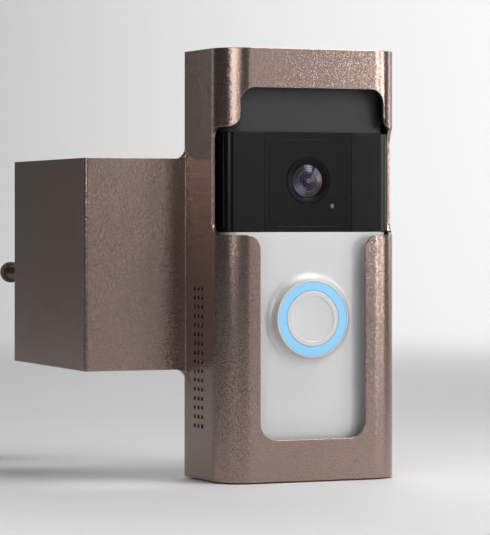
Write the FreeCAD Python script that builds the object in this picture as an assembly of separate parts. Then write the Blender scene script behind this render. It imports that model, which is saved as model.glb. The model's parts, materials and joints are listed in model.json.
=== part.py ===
"""Video doorbell held in an anti-theft shield that clamps on the edge of a door.

Frame, in millimetres: the origin is on the door's face at the middle of the shield's back,
+X to the right, +Y into the door, +Z up. The front of the doorbell looks along -Y.
A "depth" is a distance in front of the shield's back plane, so it grows towards the viewer.
"""
import FreeCAD, Part
import os
from math import atan, cos, pi, radians, sin, tan
from FreeCAD import Vector

os.makedirs("parts", exist_ok=True)

# Shield: one bent steel sheet
LINER = 0.8             # foam between the metal and the door
SHEET = 1.5
SHIELD_HEIGHT = 150.0
SHIELD_DEPTH = 33.0
HALF_BACK = 35.4        # half width at the door
HALF_FRONT = 33.7       # half width at the front, before the corners are rounded
CORNER_R = 11.0
SLANT = (HALF_BACK - HALF_FRONT) / SHIELD_DEPTH

# Window in the shield
LOWER_HALF = 19.9
UPPER_HALF = 27.2
WINDOW_BOTTOM = -60.6
NOTCH_BOTTOM = 10.4
NOTCH_TOP = 47.7
WINDOW_TOP = 61.3
NOTCH_DEPTH = 22.7
NOTCH_R = 4.5
TONGUE_R = 5.2

# Sound holes in the left wall
HOLE_R = 0.8
HOLE_ROWS = 16
HOLE_PITCH = 3.2
HOLE_TOP = -8.4
HOLE_DEPTHS = (9.0, 12.1, 15.1)

# Arm that reaches round the door's edge
ARM_HALF = 37.25
ARM_LEFT = -73.2
ARM_REACH = 79.4        # back plane of the shield to the outside of the rear leg
REAR_LEG_END = -41.0
ARM_ROOT_R = 4.0
BEND_R = 1.2
BEAD_R = 0.5            # inside the bend from the wall to the front leg

# Clamp behind the door
DOOR_THICKNESS = 62.0
PAD_THICKNESS = 2.0
PLATE_THICKNESS = 2.0
PLATE_LEFT = -70.2
PLATE_RIGHT = -43.0
PLATE_HALF = 24.0
BOLT_R = 2.5
BOLT_HEAD_R = 4.0
BOLT_HEAD_HEIGHT = 3.0
BOLT_LENGTH = 32.0
BOLT_PLACES = {"near": (-67.2, -4.5), "far": (-52.2, 4.5)}
TIP_R = 1.9
TIP_LENGTH = 2.5
RUNNING_GAP = 0.05

# Back plate and the bracket on it
BACK_SHEET = 1.2
FLANGE_GAP = 0.4
BRACKET_BACK = BACK_SHEET
BRACKET_FRONT = 3.7
SHIELD_SCREW_X = 28.0
SHIELD_SCREW_Z = 68.0
BRACKET_SCREW_X = 17.0
BRACKET_SCREW_Z = 40.0

# Doorbell
BELL_HALF_HEIGHT = 64.0
CASE_HALF = 30.4
CASE_WALL = 1.8
CASE_RIM = 7.9
GASKET_FRONT = 8.4
FRAME_HALF = 28.5
FRAME_WALL = 1.6
FRAME_FRONT = 25.6
FRAME_EDGE_R = 3.4
COVER_BACK = 9.5
HEAD_HALF = 31.0
HEAD_FRONT = 28.3
HEAD_BOTTOM = 11.4
HEAD_TOP = 45.9
CAP_FRONT = 27.3
CAP_EDGE_R = 5.5
FACE_HALF = 30.6
FACE_FRONT = 28.5
FACE_EDGE_R = 4.0
COVER_WALL = 1.4
SEAM = 0.1
SLIP = 0.3              # air gap between pieces that are not meant to touch

# Camera
LENS_Z = 29.2
BEZEL_R = 8.2
GLASS_R = 5.75
WINDOW_HALF = 16.6
PANE = 1.7
SENSOR_X = 9.45
SENSOR_Z = 20.5
MOTION_X = 22.5
MOTION_R = 4.0

# Button
BUTTON_Z = -18.8
COLLAR_BASE_R = 17.4
COLLAR_LIP_R = 13.4
FLARE_R = 3.3
RING_R = 12.85
CAP_R = 9.75
DISH_R = 7.7
BUTTON_FRONT = 32.2
BUTTON_TRAVEL = 0.8

# Inside
BATTERY_HALF = 21.0
BATTERY_BOTTOM = -57.0
BATTERY_TOP = 0.5
BATTERY_BACK = 5.3
BATTERY_FRONT = 18.6
BOARD_BACK = 12.0
BOARD_FRONT = 13.2
BUTTON_BOARD_BACK = 21.4
BUTTON_BOARD_FRONT = 22.4
CASE_SCREW_X = 24.6
CASE_SCREW_Z = 57.0
SETUP_X = 20.0
SETUP_Z = -44.0
BOARD_SCREWS = ((-22.0, 8.0), (22.0, 8.0), (-22.0, 49.0), (22.0, 49.0))
BUTTON_BOARD_POSTS = ((22.0, -8.0), (22.0, -34.0), (-12.5, -44.0))


def plane(depth):
    """Y of the plane that lies this far in front of the shield's back plane."""
    return -(LINER + depth)


def outline(corners, place):
    """Closed wire through corners (u, v, radius), with place(u, v) giving each point."""
    edges = []
    stops = []
    for index, (u, v, radius) in enumerate(corners):
        here = Vector(u, v, 0)
        before = Vector(*corners[index - 1][:2], 0) - here
        after = Vector(*corners[(index + 1) % len(corners)][:2], 0) - here
        before.normalize()
        after.normalize()
        half_turn = before.getAngle(after) / 2
        reach = radius / tan(half_turn)
        bisector = (before + after).normalize() if radius else Vector()
        middle = here + bisector * (radius / sin(half_turn) - radius)
        stops.append((here + before * reach, middle, here + after * reach, radius))
    for index, (start, middle, end, radius) in enumerate(stops):
        points = [place(p.x, p.y) for p in (start, middle, end)]
        if radius:
            edges.append(Part.Arc(*points).toShape())
        following = stops[(index + 1) % len(stops)][0]
        if (following - end).Length > 1e-6:
            edges.append(Part.makeLine(points[2], place(following.x, following.y)))
    return Part.Wire(edges)


def front_view(corners, back, front):
    """Prism from an outline in X and Z, between two depths."""
    wire = outline(corners, lambda x, z: Vector(x, plane(back), z))
    return Part.Face(wire).extrude(Vector(0, back - front, 0))


def side_view(corners, left, right):
    """Prism from an outline in depth and Z, between two X values."""
    wire = outline(corners, lambda depth, z: Vector(left, plane(depth), z))
    return Part.Face(wire).extrude(Vector(right - left, 0, 0))


def top_view(corners, low, high):
    """Prism from an outline in X and depth, between two heights."""
    wire = outline(corners, lambda x, depth: Vector(x, plane(depth), low))
    return Part.Face(wire).extrude(Vector(0, 0, high - low))


def block(left, right, back, front, low, high):
    corners = [(left, low, 0), (right, low, 0), (right, high, 0), (left, high, 0)]
    return front_view(corners, back, front)


def rounded_block(left, right, back, front, low, high, radius):
    corners = [(left, low, radius), (right, low, radius), (right, high, radius), (left, high, radius)]
    return front_view(corners, back, front)


def disc(x, z, radius, back, front):
    """Cylinder along the depth."""
    return Part.makeCylinder(radius, front - back, Vector(x, plane(back), z), Vector(0, -1, 0))


def tube(x, z, outer, inner, back, front):
    return disc(x, z, outer, back, front).cut(disc(x, z, inner, back - 1, front + 1))


def fuse(first, *others):
    return first.fuse(list(others)).removeSplitter()


def cut(first, *others):
    return first.cut(list(others))


def corners_of(x, z):
    """The four places at plus and minus x and z."""
    return [(side * x, end * z) for side in (-1, 1) for end in (-1, 1)]


def revolve(points, x, z):
    """Solid of revolution about a line along the depth; points are (radius, depth, rounding)."""
    corners = [(point + (0,))[:3] for point in points]
    wire = outline(corners, lambda r, depth: Vector(x + r, plane(depth), z))
    return Part.Face(wire).revolve(Vector(x, 0, z), Vector(0, 1, 0), 360)


def export(name, shape):
    if shape.ShapeType == "Compound" and len(shape.Solids) == 1:
        shape = shape.Solids[0]
    if not shape.isValid():
        print("INVALID", name)
    shape.exportStep(os.path.join("parts", name + ".step"))
    box = shape.BoundBox
    print("%-20s solids %2d  volume %9.1f  X %.1f %.1f  Y %.1f %.1f  Z %.1f %.1f" % (
        name, len(shape.Solids), shape.Volume, box.XMin, box.XMax,
        box.YMin, box.YMax, box.ZMin, box.ZMax))


# ---- Shield and arm ----

def half_width(depth, inset=0.0):
    """Half width of the shield's walls at a depth, less an inset measured square to them."""
    return HALF_BACK - SLANT * depth - inset / cos(atan(SLANT))


def channel(inset, back, low, high):
    """Prism of the shield's section, set in from its outer face."""
    front = SHIELD_DEPTH - inset
    radius = CORNER_R - inset
    corners = [
        (-half_width(back, inset), back, 0), (-half_width(front, inset), front, radius),
        (half_width(front, inset), front, radius), (half_width(back, inset), back, 0)]
    return top_view(corners, low, high)


def shield_window():
    """What is cut out of the front: lower window, wide notch and narrower top, in one outline."""
    beyond = HALF_BACK + 10
    right = [
        (LOWER_HALF, WINDOW_BOTTOM, 6.0), (LOWER_HALF, NOTCH_BOTTOM, TONGUE_R),
        (beyond, NOTCH_BOTTOM, 0), (beyond, NOTCH_TOP, 0),
        (UPPER_HALF, NOTCH_TOP, 4.0), (UPPER_HALF, WINDOW_TOP, 5.3)]
    left = [(-x, z, radius) for x, z, radius in reversed(right)]
    ahead = SHIELD_DEPTH + 10
    front_cut = front_view(right + left, NOTCH_DEPTH + NOTCH_R, ahead)
    notch = side_view([
        (NOTCH_DEPTH, NOTCH_BOTTOM, NOTCH_R), (NOTCH_DEPTH, NOTCH_TOP, NOTCH_R),
        (ahead, NOTCH_TOP, 0), (ahead, NOTCH_BOTTOM, 0)], -beyond, beyond)
    return front_cut, notch


def sound_holes():
    holes = []
    for depth in HOLE_DEPTHS:
        for row in range(HOLE_ROWS):
            start = Vector(-HALF_BACK - 2, plane(depth), HOLE_TOP - row * HOLE_PITCH)
            holes.append(Part.makeCylinder(HOLE_R, 6, start, Vector(1, 0, 0)))
    return holes


def shield_arm():
    """Shield, fixing tabs, front leg, side plate and rear leg: all one sheet of steel."""
    top = SHIELD_HEIGHT / 2
    shell = cut(channel(0, 0, -top, top), channel(SHEET, -1, -top - 1, top + 1))
    tabs = []
    tab_height = 10.0
    tab_reach = 11.0
    for x, z in corners_of(half_width(0, SHEET), SHIELD_SCREW_Z):
        inner = x - tab_reach * (1 if x > 0 else -1)
        outer = x + 0.5 * (1 if x > 0 else -1)
        tab = block(min(inner, outer), max(inner, outer), BACK_SHEET, BACK_SHEET + SHEET,
                    z - tab_height / 2, z + tab_height / 2)
        tabs.append(tab)
    root = ARM_ROOT_R * 2
    into_wall = -half_width(0, SHEET) - 0.05
    at_wall = -half_width(SHEET)
    leg = front_view([
        (ARM_LEFT, -ARM_HALF, 0), (at_wall, -ARM_HALF, ARM_ROOT_R), (at_wall, -ARM_HALF - root, 0),
        (into_wall, -ARM_HALF - root, 0), (into_wall, ARM_HALF + root, 0),
        (at_wall, ARM_HALF + root, 0), (at_wall, ARM_HALF, ARM_ROOT_R), (ARM_LEFT, ARM_HALF, 0),
    ], 0, SHEET)
    side = block(ARM_LEFT, ARM_LEFT + SHEET, -ARM_REACH, SHEET, -ARM_HALF, ARM_HALF)
    rear = block(ARM_LEFT, REAR_LEG_END, -ARM_REACH, SHEET - ARM_REACH, -ARM_HALF, ARM_HALF)
    bead = block(at_wall - BEAD_R, at_wall + 0.3, SHEET, SHEET + BEAD_R, -ARM_HALF, ARM_HALF)
    hollow = Part.makeCylinder(
        BEAD_R, 2 * ARM_HALF, Vector(at_wall - BEAD_R, plane(SHEET + BEAD_R), -ARM_HALF), Vector(0, 0, 1))
    sheet = fuse(shell, leg, side, rear, bead.cut(hollow), *tabs)
    bends = [
        edge for edge in sheet.Edges
        if edge.Length > 2 * ARM_HALF - 0.1 and abs(edge.CenterOfMass.x - ARM_LEFT) < 0.01
        and abs(edge.CenterOfMass.z) < 0.1]
    sheet = sheet.makeFillet(BEND_R, bends)
    rear_corners = [
        edge for edge in sheet.Edges
        if abs(edge.CenterOfMass.x - REAR_LEG_END) < 0.01 and abs(edge.Length - SHEET) < 0.01]
    sheet = sheet.makeFillet(4.0, rear_corners)
    tapped = [disc(x, z, 1.5, 0, 6) for x, z in corners_of(SHIELD_SCREW_X, SHIELD_SCREW_Z)]
    for x, z in BOLT_PLACES.values():
        tapped.append(disc(x, z, 3.5, -ARM_REACH - 1, SHEET - ARM_REACH + 1))
    return cut(sheet, *shield_window(), *sound_holes(), *tapped)


def countersunk(x, z, back, length, thread_r, head_r):
    """Countersunk screw driven forwards: its flat head is at the back."""
    cone = head_r - thread_r
    tip = back + length
    points = [(0, back), (head_r, back), (thread_r, back + cone), (thread_r, tip), (0, tip)]
    screw = revolve(points, x, z)
    socket = disc(x, z, thread_r * 0.6, back - 1, back + cone * 0.6)
    return screw.cut(socket)


def back_plate():
    """Plate behind the doorbell, with flanges that close both ends of the shield."""
    top = SHIELD_HEIGHT / 2 - 0.5
    inset = SHEET + FLANGE_GAP
    plate = channel(inset, 0, -top, top)
    hollow = block(-HALF_BACK, HALF_BACK, BACK_SHEET, SHIELD_DEPTH, BACK_SHEET - top, top - BACK_SHEET)
    drains = [
        rounded_block(x - 6, x + 6, 10, 13, -top - 1, 2 - top, 0) for x in (-18, 0, 18)]
    countersinks = []
    for x, z in corners_of(SHIELD_SCREW_X, SHIELD_SCREW_Z):
        countersinks.append(revolve([(0, -1), (2.9, -1), (2.9, 0), (1.6, 1.3), (0, 1.3)], x, z))
        countersinks.append(disc(x, z, 1.6, -1, 3))
    taps = [disc(x, z, 1.5, -1, 3) for x, z in corners_of(BRACKET_SCREW_X, BRACKET_SCREW_Z)]
    return cut(plate, hollow, *drains, *countersinks, *taps)


def shield_screws():
    return Part.makeCompound([
        countersunk(x, z, 0, 6.0, 1.45, 2.55) for x, z in corners_of(SHIELD_SCREW_X, SHIELD_SCREW_Z)])


def back_pad():
    holes = [disc(x, z, 3.5, -2, 1) for x, z in corners_of(SHIELD_SCREW_X, SHIELD_SCREW_Z)]
    return cut(rounded_block(-32, 32, -LINER, 0, -73, 73, 4), *holes)


def leg_pad():
    return rounded_block(ARM_LEFT + 4, -HALF_BACK - 1, -LINER, 0, 3 - ARM_HALF, ARM_HALF - 3, 2)


def edge_pad():
    """Strip on the side plate that rests on the door's edge."""
    low, high = 3 - ARM_HALF, ARM_HALF - 3
    return side_view([
        (-60, low, 2), (-60, high, 2), (-4, high, 2), (-4, low, 2)],
        ARM_LEFT + SHEET, ARM_LEFT + SHEET + LINER)


# ---- Clamp ----

PAD_FACE = -(DOOR_THICKNESS + LINER)
PLATE_FRONT = PAD_FACE - PAD_THICKNESS
PLATE_BACK = PLATE_FRONT - PLATE_THICKNESS
BOSS_BACK = PLATE_BACK - TIP_LENGTH
SHANK_FRONT = BOSS_BACK - RUNNING_GAP
HEAD_FRONT_FACE = SHANK_FRONT - BOLT_LENGTH
INSERT_INNER = SHEET - ARM_REACH + 3.0


def rivet_nuts():
    nuts = []
    for x, z in BOLT_PLACES.values():
        body = disc(x, z, 3.45, -ARM_REACH - 1, INSERT_INNER)
        flange = disc(x, z, 4.4, -ARM_REACH - 1, -ARM_REACH)
        bore = disc(x, z, BOLT_R + RUNNING_GAP, -ARM_REACH - 3, INSERT_INNER + 1)
        nuts.append(cut(fuse(body, flange), bore))
    return Part.makeCompound(nuts)


def pressure_plate():
    """Steel plate with a socket for the tip of each bolt."""
    plate = rounded_block(PLATE_LEFT, PLATE_RIGHT, PLATE_BACK, PLATE_FRONT, -PLATE_HALF, PLATE_HALF, 3)
    bosses = [disc(x, z, 3.0 if name == "near" else 4.0, BOSS_BACK, PLATE_BACK)
              for name, (x, z) in BOLT_PLACES.items()]
    sockets = [disc(x, z, TIP_R + RUNNING_GAP, BOSS_BACK - 1, PLATE_BACK) for x, z in BOLT_PLACES.values()]
    return cut(fuse(plate, *bosses), *sockets)


def pressure_pad():
    """Rubber pad on the plate, with shallow grip grooves."""
    pad = rounded_block(PLATE_LEFT + 0.6, PLATE_RIGHT - 0.6, PLATE_FRONT, PAD_FACE,
                        0.6 - PLATE_HALF, PLATE_HALF - 0.6, 2.5)
    grooves = [
        block(PLATE_LEFT, PLATE_RIGHT, PAD_FACE - 0.6, PAD_FACE + 1, z - 0.5, z + 0.5)
        for z in range(-20, 21, 5)]
    return cut(pad, *grooves)


def clamp_bolt(name):
    """Round-headed bolt with a hexagon socket and a turned tip."""
    x, z = BOLT_PLACES[name]
    head_back = HEAD_FRONT_FACE - BOLT_HEAD_HEIGHT
    crown = 0.8
    points = [
        (0, PLATE_BACK - RUNNING_GAP), (TIP_R, PLATE_BACK - RUNNING_GAP), (TIP_R, SHANK_FRONT),
        (BOLT_R, SHANK_FRONT), (BOLT_R, HEAD_FRONT_FACE), (BOLT_HEAD_R, HEAD_FRONT_FACE),
        (BOLT_HEAD_R, head_back + crown), (BOLT_HEAD_R - crown, head_back), (0, head_back)]
    socket_r = 1.75
    angles = [radians(60 * index) for index in range(6)]
    hexagon = [(x + socket_r * cos(angle), z + socket_r * sin(angle), 0) for angle in angles]
    return revolve(points, x, z).cut(front_view(hexagon, head_back - 1, head_back + 2))


# ---- Doorbell: bracket and casings ----

def doorbell_bracket():
    """Plastic bracket on the back plate that the doorbell hooks over."""
    body = rounded_block(-23, 23, BRACKET_BACK, BRACKET_FRONT, -54, 58, 4)
    wiring = rounded_block(-11, 11, 0, 5, -14, 14, 3)
    terminals = rounded_block(-11, 11, 0, 5, 42, 54, 2)
    holes = []
    for x, z in corners_of(BRACKET_SCREW_X, BRACKET_SCREW_Z):
        holes.append(disc(x, z, 1.6, 0, 5))
        holes.append(disc(x, z, 2.8, 1.9, 5))
    return cut(body, wiring, terminals, *holes)


def bracket_screws():
    screws = []
    for x, z in corners_of(BRACKET_SCREW_X, BRACKET_SCREW_Z):
        screw = fuse(disc(x, z, 1.45, 0, 2), disc(x, z, 2.6, 1.9, 3.5))
        cross = [block(x - a, x + a, 2.8, 4, z - b, z + b) for a, b in ((1.6, 0.3), (0.3, 1.6))]
        screws.append(cut(screw, *cross))
    return Part.makeCompound(screws)


def rear_case():
    half_height = BELL_HALF_HEIGHT - 0.4
    tray = rounded_block(-CASE_HALF, CASE_HALF, BRACKET_FRONT, CASE_RIM, -half_height, half_height, 5)
    inner_x = CASE_HALF - CASE_WALL
    inner_z = half_height - CASE_WALL
    hollow = rounded_block(-inner_x, inner_x, BRACKET_FRONT + 1.6, CASE_RIM + 1, -inner_z, inner_z, 3.2)
    posts = [disc(x, z, 2.5, BRACKET_FRONT, 7.8) for x, z in corners_of(CASE_SCREW_X, CASE_SCREW_Z)]
    posts += [disc(x, 48, 2.6, BRACKET_FRONT, 7.2) for x in (-6, 6)]
    bores = []
    for x, z in corners_of(CASE_SCREW_X, CASE_SCREW_Z):
        bores += [disc(x, z, 1.2, 0, 10), disc(x, z, 2.0, 0, 5.2)]
    for x in (-6, 6):
        bores += [disc(x, 48, 1.05, 0, 10), disc(x, 48, 2.2, 0, 4.9)]
    return cut(fuse(cut(tray, hollow), *posts), *bores)


def case_gasket():
    half_height = BELL_HALF_HEIGHT - 0.6
    outer = rounded_block(-30.2, 30.2, CASE_RIM, GASKET_FRONT, -half_height, half_height, 4.8)
    return cut(outer, rounded_block(-28.8, 28.8, 0, 12, 1.4 - half_height, half_height - 1.4, 3.4))


def case_screws():
    screws = []
    for x, z in corners_of(CASE_SCREW_X, CASE_SCREW_Z):
        screws.append(fuse(disc(x, z, 1.1, 5.2, 13.5), disc(x, z, 1.9, 3.9, 5.2)))
    return Part.makeCompound(screws)


def terminal_screws():
    screws = []
    for x in (-6, 6):
        screw = fuse(disc(x, 48, 1.0, 4.9, 7.0), disc(x, 48, 2.1, 3.4, 4.9))
        screws.append(screw.cut(block(x - 2.2, x + 2.2, 3, 3.9, 47.7, 48.3)))
    return Part.makeCompound(screws)


def front_frame():
    """Inner chassis: walls, front wall with its openings, and posts for the case screws."""
    half_height = BELL_HALF_HEIGHT - 2.1
    body = rounded_block(-FRAME_HALF, FRAME_HALF, GASKET_FRONT, FRAME_FRONT, -half_height, half_height, 3)
    body = body.common(cover_section(
        FRAME_HALF, 0, FRAME_FRONT, FRAME_EDGE_R, -BELL_HALF_HEIGHT, BELL_HALF_HEIGHT))
    flange = rounded_block(-30.2, 30.2, GASKET_FRONT, GASKET_FRONT + 1, 0.6 - BELL_HALF_HEIGHT,
                           BELL_HALF_HEIGHT - 0.6, 4.8)
    inner_x = FRAME_HALF - FRAME_WALL
    inner_z = half_height - FRAME_WALL
    hollow = rounded_block(-inner_x, inner_x, 0, FRAME_FRONT - FRAME_WALL, -inner_z, inner_z, 1.5)
    wall_back = FRAME_FRONT - FRAME_WALL + 0.1
    posts = [disc(x, z, 2.5, GASKET_FRONT, 16) for x, z in corners_of(CASE_SCREW_X, CASE_SCREW_Z)]
    posts += [disc(x, z, 2.2, BOARD_FRONT, wall_back) for x, z in BOARD_SCREWS]
    posts += [disc(x, z, 1.5, BUTTON_BOARD_FRONT, wall_back) for x, z in BUTTON_BOARD_POSTS]
    openings = [
        rounded_block(-9.5, 13.5, 20, 30, LENS_Z - 12, LENS_Z + 9.5, 1),
        disc(0, BUTTON_Z, RING_R, 20, 30),
        disc(SETUP_X, SETUP_Z, 2.8, 20, 30),
        rounded_block(-9, 9, 20, 30, -70, -46, 1)]
    openings += [disc(x, LENS_Z, MOTION_R + 0.3, 20, 30) for x in (-MOTION_X, MOTION_X)]
    screw_bores = [disc(x, z, 1.15, 0, 14) for x, z in corners_of(CASE_SCREW_X, CASE_SCREW_Z)]
    screw_bores += [disc(x, z, 1.05, 0, 17.5) for x, z in BOARD_SCREWS]
    screw_bores.append(Part.makeCylinder(1.25, 8, Vector(0, plane(14), -66), Vector(0, 0, 1)))
    sound = [block(-40, -20, depth, depth + 1.2, -50, -14) for depth in (10.5, 13.5, 16.5)]
    return cut(fuse(cut(fuse(body, flange), hollow), *posts), *openings, *screw_bores, *sound)


def cover_section(half, back, front, edge_r, low, high):
    """Upright prism with its two front edges rounded."""
    corners = [(-half, back, 0), (-half, front, edge_r), (half, front, edge_r), (half, back, 0)]
    return top_view(corners, low, high)


def head_cover():
    """Gloss cover round the camera: front and both sides."""
    wall = 1.6
    outer = cover_section(HEAD_HALF, COVER_BACK, HEAD_FRONT, 3.0, HEAD_BOTTOM, HEAD_TOP)
    hollow = cover_section(HEAD_HALF - wall, 0, HEAD_FRONT - wall, 1.4, HEAD_BOTTOM - 1, HEAD_TOP + 1)
    seat = HEAD_FRONT - PANE
    lip = 0.8
    ledge = block(-WINDOW_HALF - 1, WINDOW_HALF + 1, seat - 0.7, seat + 0.2, HEAD_BOTTOM, HEAD_TOP)
    pocket = block(-WINDOW_HALF, WINDOW_HALF, seat, 30, HEAD_BOTTOM - 1, HEAD_TOP + 1)
    half = WINDOW_HALF - lip
    opening = rounded_block(-half, half, 20, 30, HEAD_BOTTOM + lip, HEAD_TOP - lip, 1)
    return cut(fuse(cut(outer, hollow), ledge), pocket, opening)


def camera_window():
    """Square pane in the head, with a fine rounded line and holes for the lens and the light sensor."""
    half = WINDOW_HALF - SEAM
    pane = block(-half, half, HEAD_FRONT - PANE, HEAD_FRONT - 0.08, HEAD_BOTTOM, HEAD_TOP)
    line = rounded_block(-14.8, 14.8, HEAD_FRONT - 0.25, 30, 13.4, 43.9, 4)
    line = line.cut(rounded_block(-14.62, 14.62, 20, 30, 13.58, 43.72, 3.82))
    return cut(pane, line, disc(0, LENS_Z, BEZEL_R + 0.03, 20, 30), disc(SENSOR_X, SENSOR_Z, 0.95, 20, 30))


def lens_bezel():
    """Black ring that slopes down to the lens."""
    front = HEAD_FRONT - 0.05
    points = [(GLASS_R, 25.0), (BEZEL_R, 25.0), (BEZEL_R, front - 0.2), (BEZEL_R - 0.2, front),
              (BEZEL_R - 0.7, front), (GLASS_R, front - 0.9)]
    return revolve(points, 0, LENS_Z)


def lens_glass():
    """Domed front element."""
    dome_r = 13.0
    edge = HEAD_FRONT - 0.9
    rise = dome_r - (dome_r ** 2 - GLASS_R ** 2) ** 0.5
    body = disc(0, LENS_Z, GLASS_R, 25.6, edge + rise)
    ball = Part.makeSphere(dome_r, Vector(0, plane(edge + rise - dome_r), LENS_Z))
    return body.common(ball)


def lens_barrel():
    return revolve([
        (3.2, 18.2), (6.0, 18.2), (6.0, 21), (5.4, 21), (5.4, 25.5), (4.2, 25.5), (3.2, 22)], 0, LENS_Z)


def lens_elements():
    """Two inner glass elements in the barrel."""
    rear = disc(0, LENS_Z, 3.2, 18.6, 19.8)
    front = revolve([(0, 21.0), (3.2, 21.0), (3.2, 22.0), (2.4, 23.6), (0, 24.2)], 0, LENS_Z)
    return Part.makeCompound([rear, front])


def camera_board():
    """Image sensor on its board."""
    board = rounded_block(-8.5, 11.5, 16.4, 17.4, LENS_Z - 10.5, LENS_Z + 8.5, 1)
    sensor = block(-3.5, 3.5, 17.4, 18.2, LENS_Z - 2.6, LENS_Z + 2.6)
    standoffs = [disc(x, z, 1.2, BOARD_FRONT, 16.4) for x, z in ((-6.5, 35.5), (9.5, 35.5), (1.0, 20.5))]
    return fuse(board, sensor, *standoffs)


def light_sensor():
    """Light pipe from the camera board to a small hole in the pane."""
    return disc(SENSOR_X, SENSOR_Z, 0.85, 17.4, HEAD_FRONT - 0.5)


def motion_sensors():
    """Two pyroelectric cans on spacers behind the side parts of the head."""
    return Part.makeCompound([
        fuse(disc(x, LENS_Z, MOTION_R, 20.5, 25.2), disc(x, LENS_Z, 2.5, BOARD_FRONT, 20.5))
        for x in (-MOTION_X, MOTION_X)])


def infrared_lamps():
    lamps = []
    for x in (-MOTION_X, MOTION_X):
        for z in (LENS_Z - 10.5, LENS_Z + 10.5):
            lamps.append(block(x - 1.7, x + 1.7, FRAME_FRONT, FRAME_FRONT + 0.8, z - 1.7, z + 1.7))
    return Part.makeCompound(lamps)


def top_cap():
    """Matt cap over the top end, with well-rounded front and top edges."""
    low = HEAD_TOP + SEAM
    outer = cover_section(CASE_HALF, COVER_BACK, CAP_FRONT, CAP_EDGE_R, low, BELL_HALF_HEIGHT)
    top_edges = [edge for edge in outer.Edges
                 if abs(edge.BoundBox.ZMin - BELL_HALF_HEIGHT) < 0.01
                 and abs(edge.BoundBox.YMin - plane(COVER_BACK)) > 0.01]
    outer = outer.makeFillet(2.5, top_edges)
    hollow = cover_section(CASE_HALF - COVER_WALL, 0, CAP_FRONT - COVER_WALL, CAP_EDGE_R - COVER_WALL,
                           low - 1, BELL_HALF_HEIGHT - COVER_WALL)
    return cut(outer, hollow)


def faceplate():
    """Metal-look cover of the lower part, drawn up into a collar round the button."""
    high = HEAD_BOTTOM - SEAM
    outer = cover_section(FACE_HALF, COVER_BACK, FACE_FRONT, FACE_EDGE_R, -BELL_HALF_HEIGHT, high)
    bottom_edges = [edge for edge in outer.Edges
                    if abs(edge.BoundBox.ZMax + BELL_HALF_HEIGHT) < 0.01
                    and abs(edge.BoundBox.YMin - plane(COVER_BACK)) > 0.01]
    outer = outer.makeFillet(2.0, bottom_edges)
    hollow = cover_section(FACE_HALF - COVER_WALL, 0, FACE_FRONT - COVER_WALL, FACE_EDGE_R - COVER_WALL,
                           COVER_WALL - BELL_HALF_HEIGHT, high + 1)
    collar = revolve([
        (RING_R + SEAM, FACE_FRONT - 0.5), (COLLAR_BASE_R, FACE_FRONT - 0.5), (COLLAR_BASE_R, FACE_FRONT),
        (COLLAR_LIP_R + 0.15, FACE_FRONT, FLARE_R), (COLLAR_LIP_R, BUTTON_FRONT, 0.12),
        (RING_R + SEAM, BUTTON_FRONT, 0.05)], 0, BUTTON_Z)
    sound = [block(-40, 5 - FACE_HALF, depth, depth + 1.2, -50, -14) for depth in (10.5, 13.5, 16.5)]
    screw = Part.makeCylinder(1.4, 6, Vector(0, plane(14), -66), Vector(0, 0, 1))
    bore = disc(0, BUTTON_Z, RING_R + SEAM, 20, 40)
    return cut(fuse(cut(outer, hollow), collar), bore, screw, *sound)


def security_screw():
    """Star-socket screw that locks the faceplate from below."""
    axis = Vector(0, 0, 1)
    head = Part.makeCylinder(2.3, 1.6, Vector(0, plane(14), -BELL_HALF_HEIGHT - 1.6), axis)
    shank = Part.makeCylinder(1.2, 6.0, Vector(0, plane(14), -BELL_HALF_HEIGHT - 0.1), axis)
    star = Part.makeCylinder(0.9, 1.0, Vector(0, plane(14), -BELL_HALF_HEIGHT - 2.0), axis)
    return fuse(head, shank).cut(star)


# ---- Button ----

def light_ring():
    """Translucent ring round the button, with a skirt that guides the light up from the lamps."""
    under = BUTTON_FRONT - 3.4
    return revolve([
        (CAP_R + 0.15, under), (RING_R - 1.4, under), (RING_R - 1.4, 23.5), (RING_R, 23.5),
        (RING_R, BUTTON_FRONT - 0.1), (RING_R - 0.1, BUTTON_FRONT), (CAP_R + 0.25, BUTTON_FRONT),
        (CAP_R + 0.15, BUTTON_FRONT - 0.1)], 0, BUTTON_Z)


def button_cap():
    """Push button with a dished face, a retaining flange and a stem over the switch."""
    flange_front = BUTTON_FRONT - 3.7
    stem_end = 25.7
    return revolve([
        (0, stem_end), (1.6, stem_end), (1.6, flange_front - 1.2), (RING_R - 1.8, flange_front - 1.2),
        (RING_R - 1.8, flange_front), (CAP_R, flange_front), (CAP_R, BUTTON_FRONT - 0.25),
        (CAP_R - 0.25, BUTTON_FRONT), (DISH_R + 0.35, BUTTON_FRONT), (DISH_R, BUTTON_FRONT - 0.3),
        (0, BUTTON_FRONT - 0.55)], 0, BUTTON_Z)


def button_board():
    board = rounded_block(-15, 24.5, BUTTON_BOARD_BACK, BUTTON_BOARD_FRONT, -48.3, -4.5, 2)
    return board.cut(disc(-9, -42, 1.6, 20, 25))


def ring_lamps():
    lamps = []
    for index in range(12):
        angle = radians(30 * index)
        x = 11.9 * cos(angle)
        z = BUTTON_Z + 11.9 * sin(angle)
        lamps.append(block(
            x - 0.8, x + 0.8, BUTTON_BOARD_FRONT, BUTTON_BOARD_FRONT + 0.7, z - 0.8, z + 0.8))
    return Part.makeCompound(lamps)


def push_switches():
    """Dome switches under the call button and the set-up button."""
    call = fuse(
        block(-3, 3, BUTTON_BOARD_FRONT, 24.0, BUTTON_Z - 3, BUTTON_Z + 3),
        disc(0, BUTTON_Z, 1.7, 24.0, 24.8))
    setup = fuse(
        block(SETUP_X - 2, SETUP_X + 2, BUTTON_BOARD_FRONT, 23.0, SETUP_Z - 2, SETUP_Z + 2),
        disc(SETUP_X, SETUP_Z, 1.0, 23.0, 23.4))
    return Part.makeCompound([call, setup])


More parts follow.
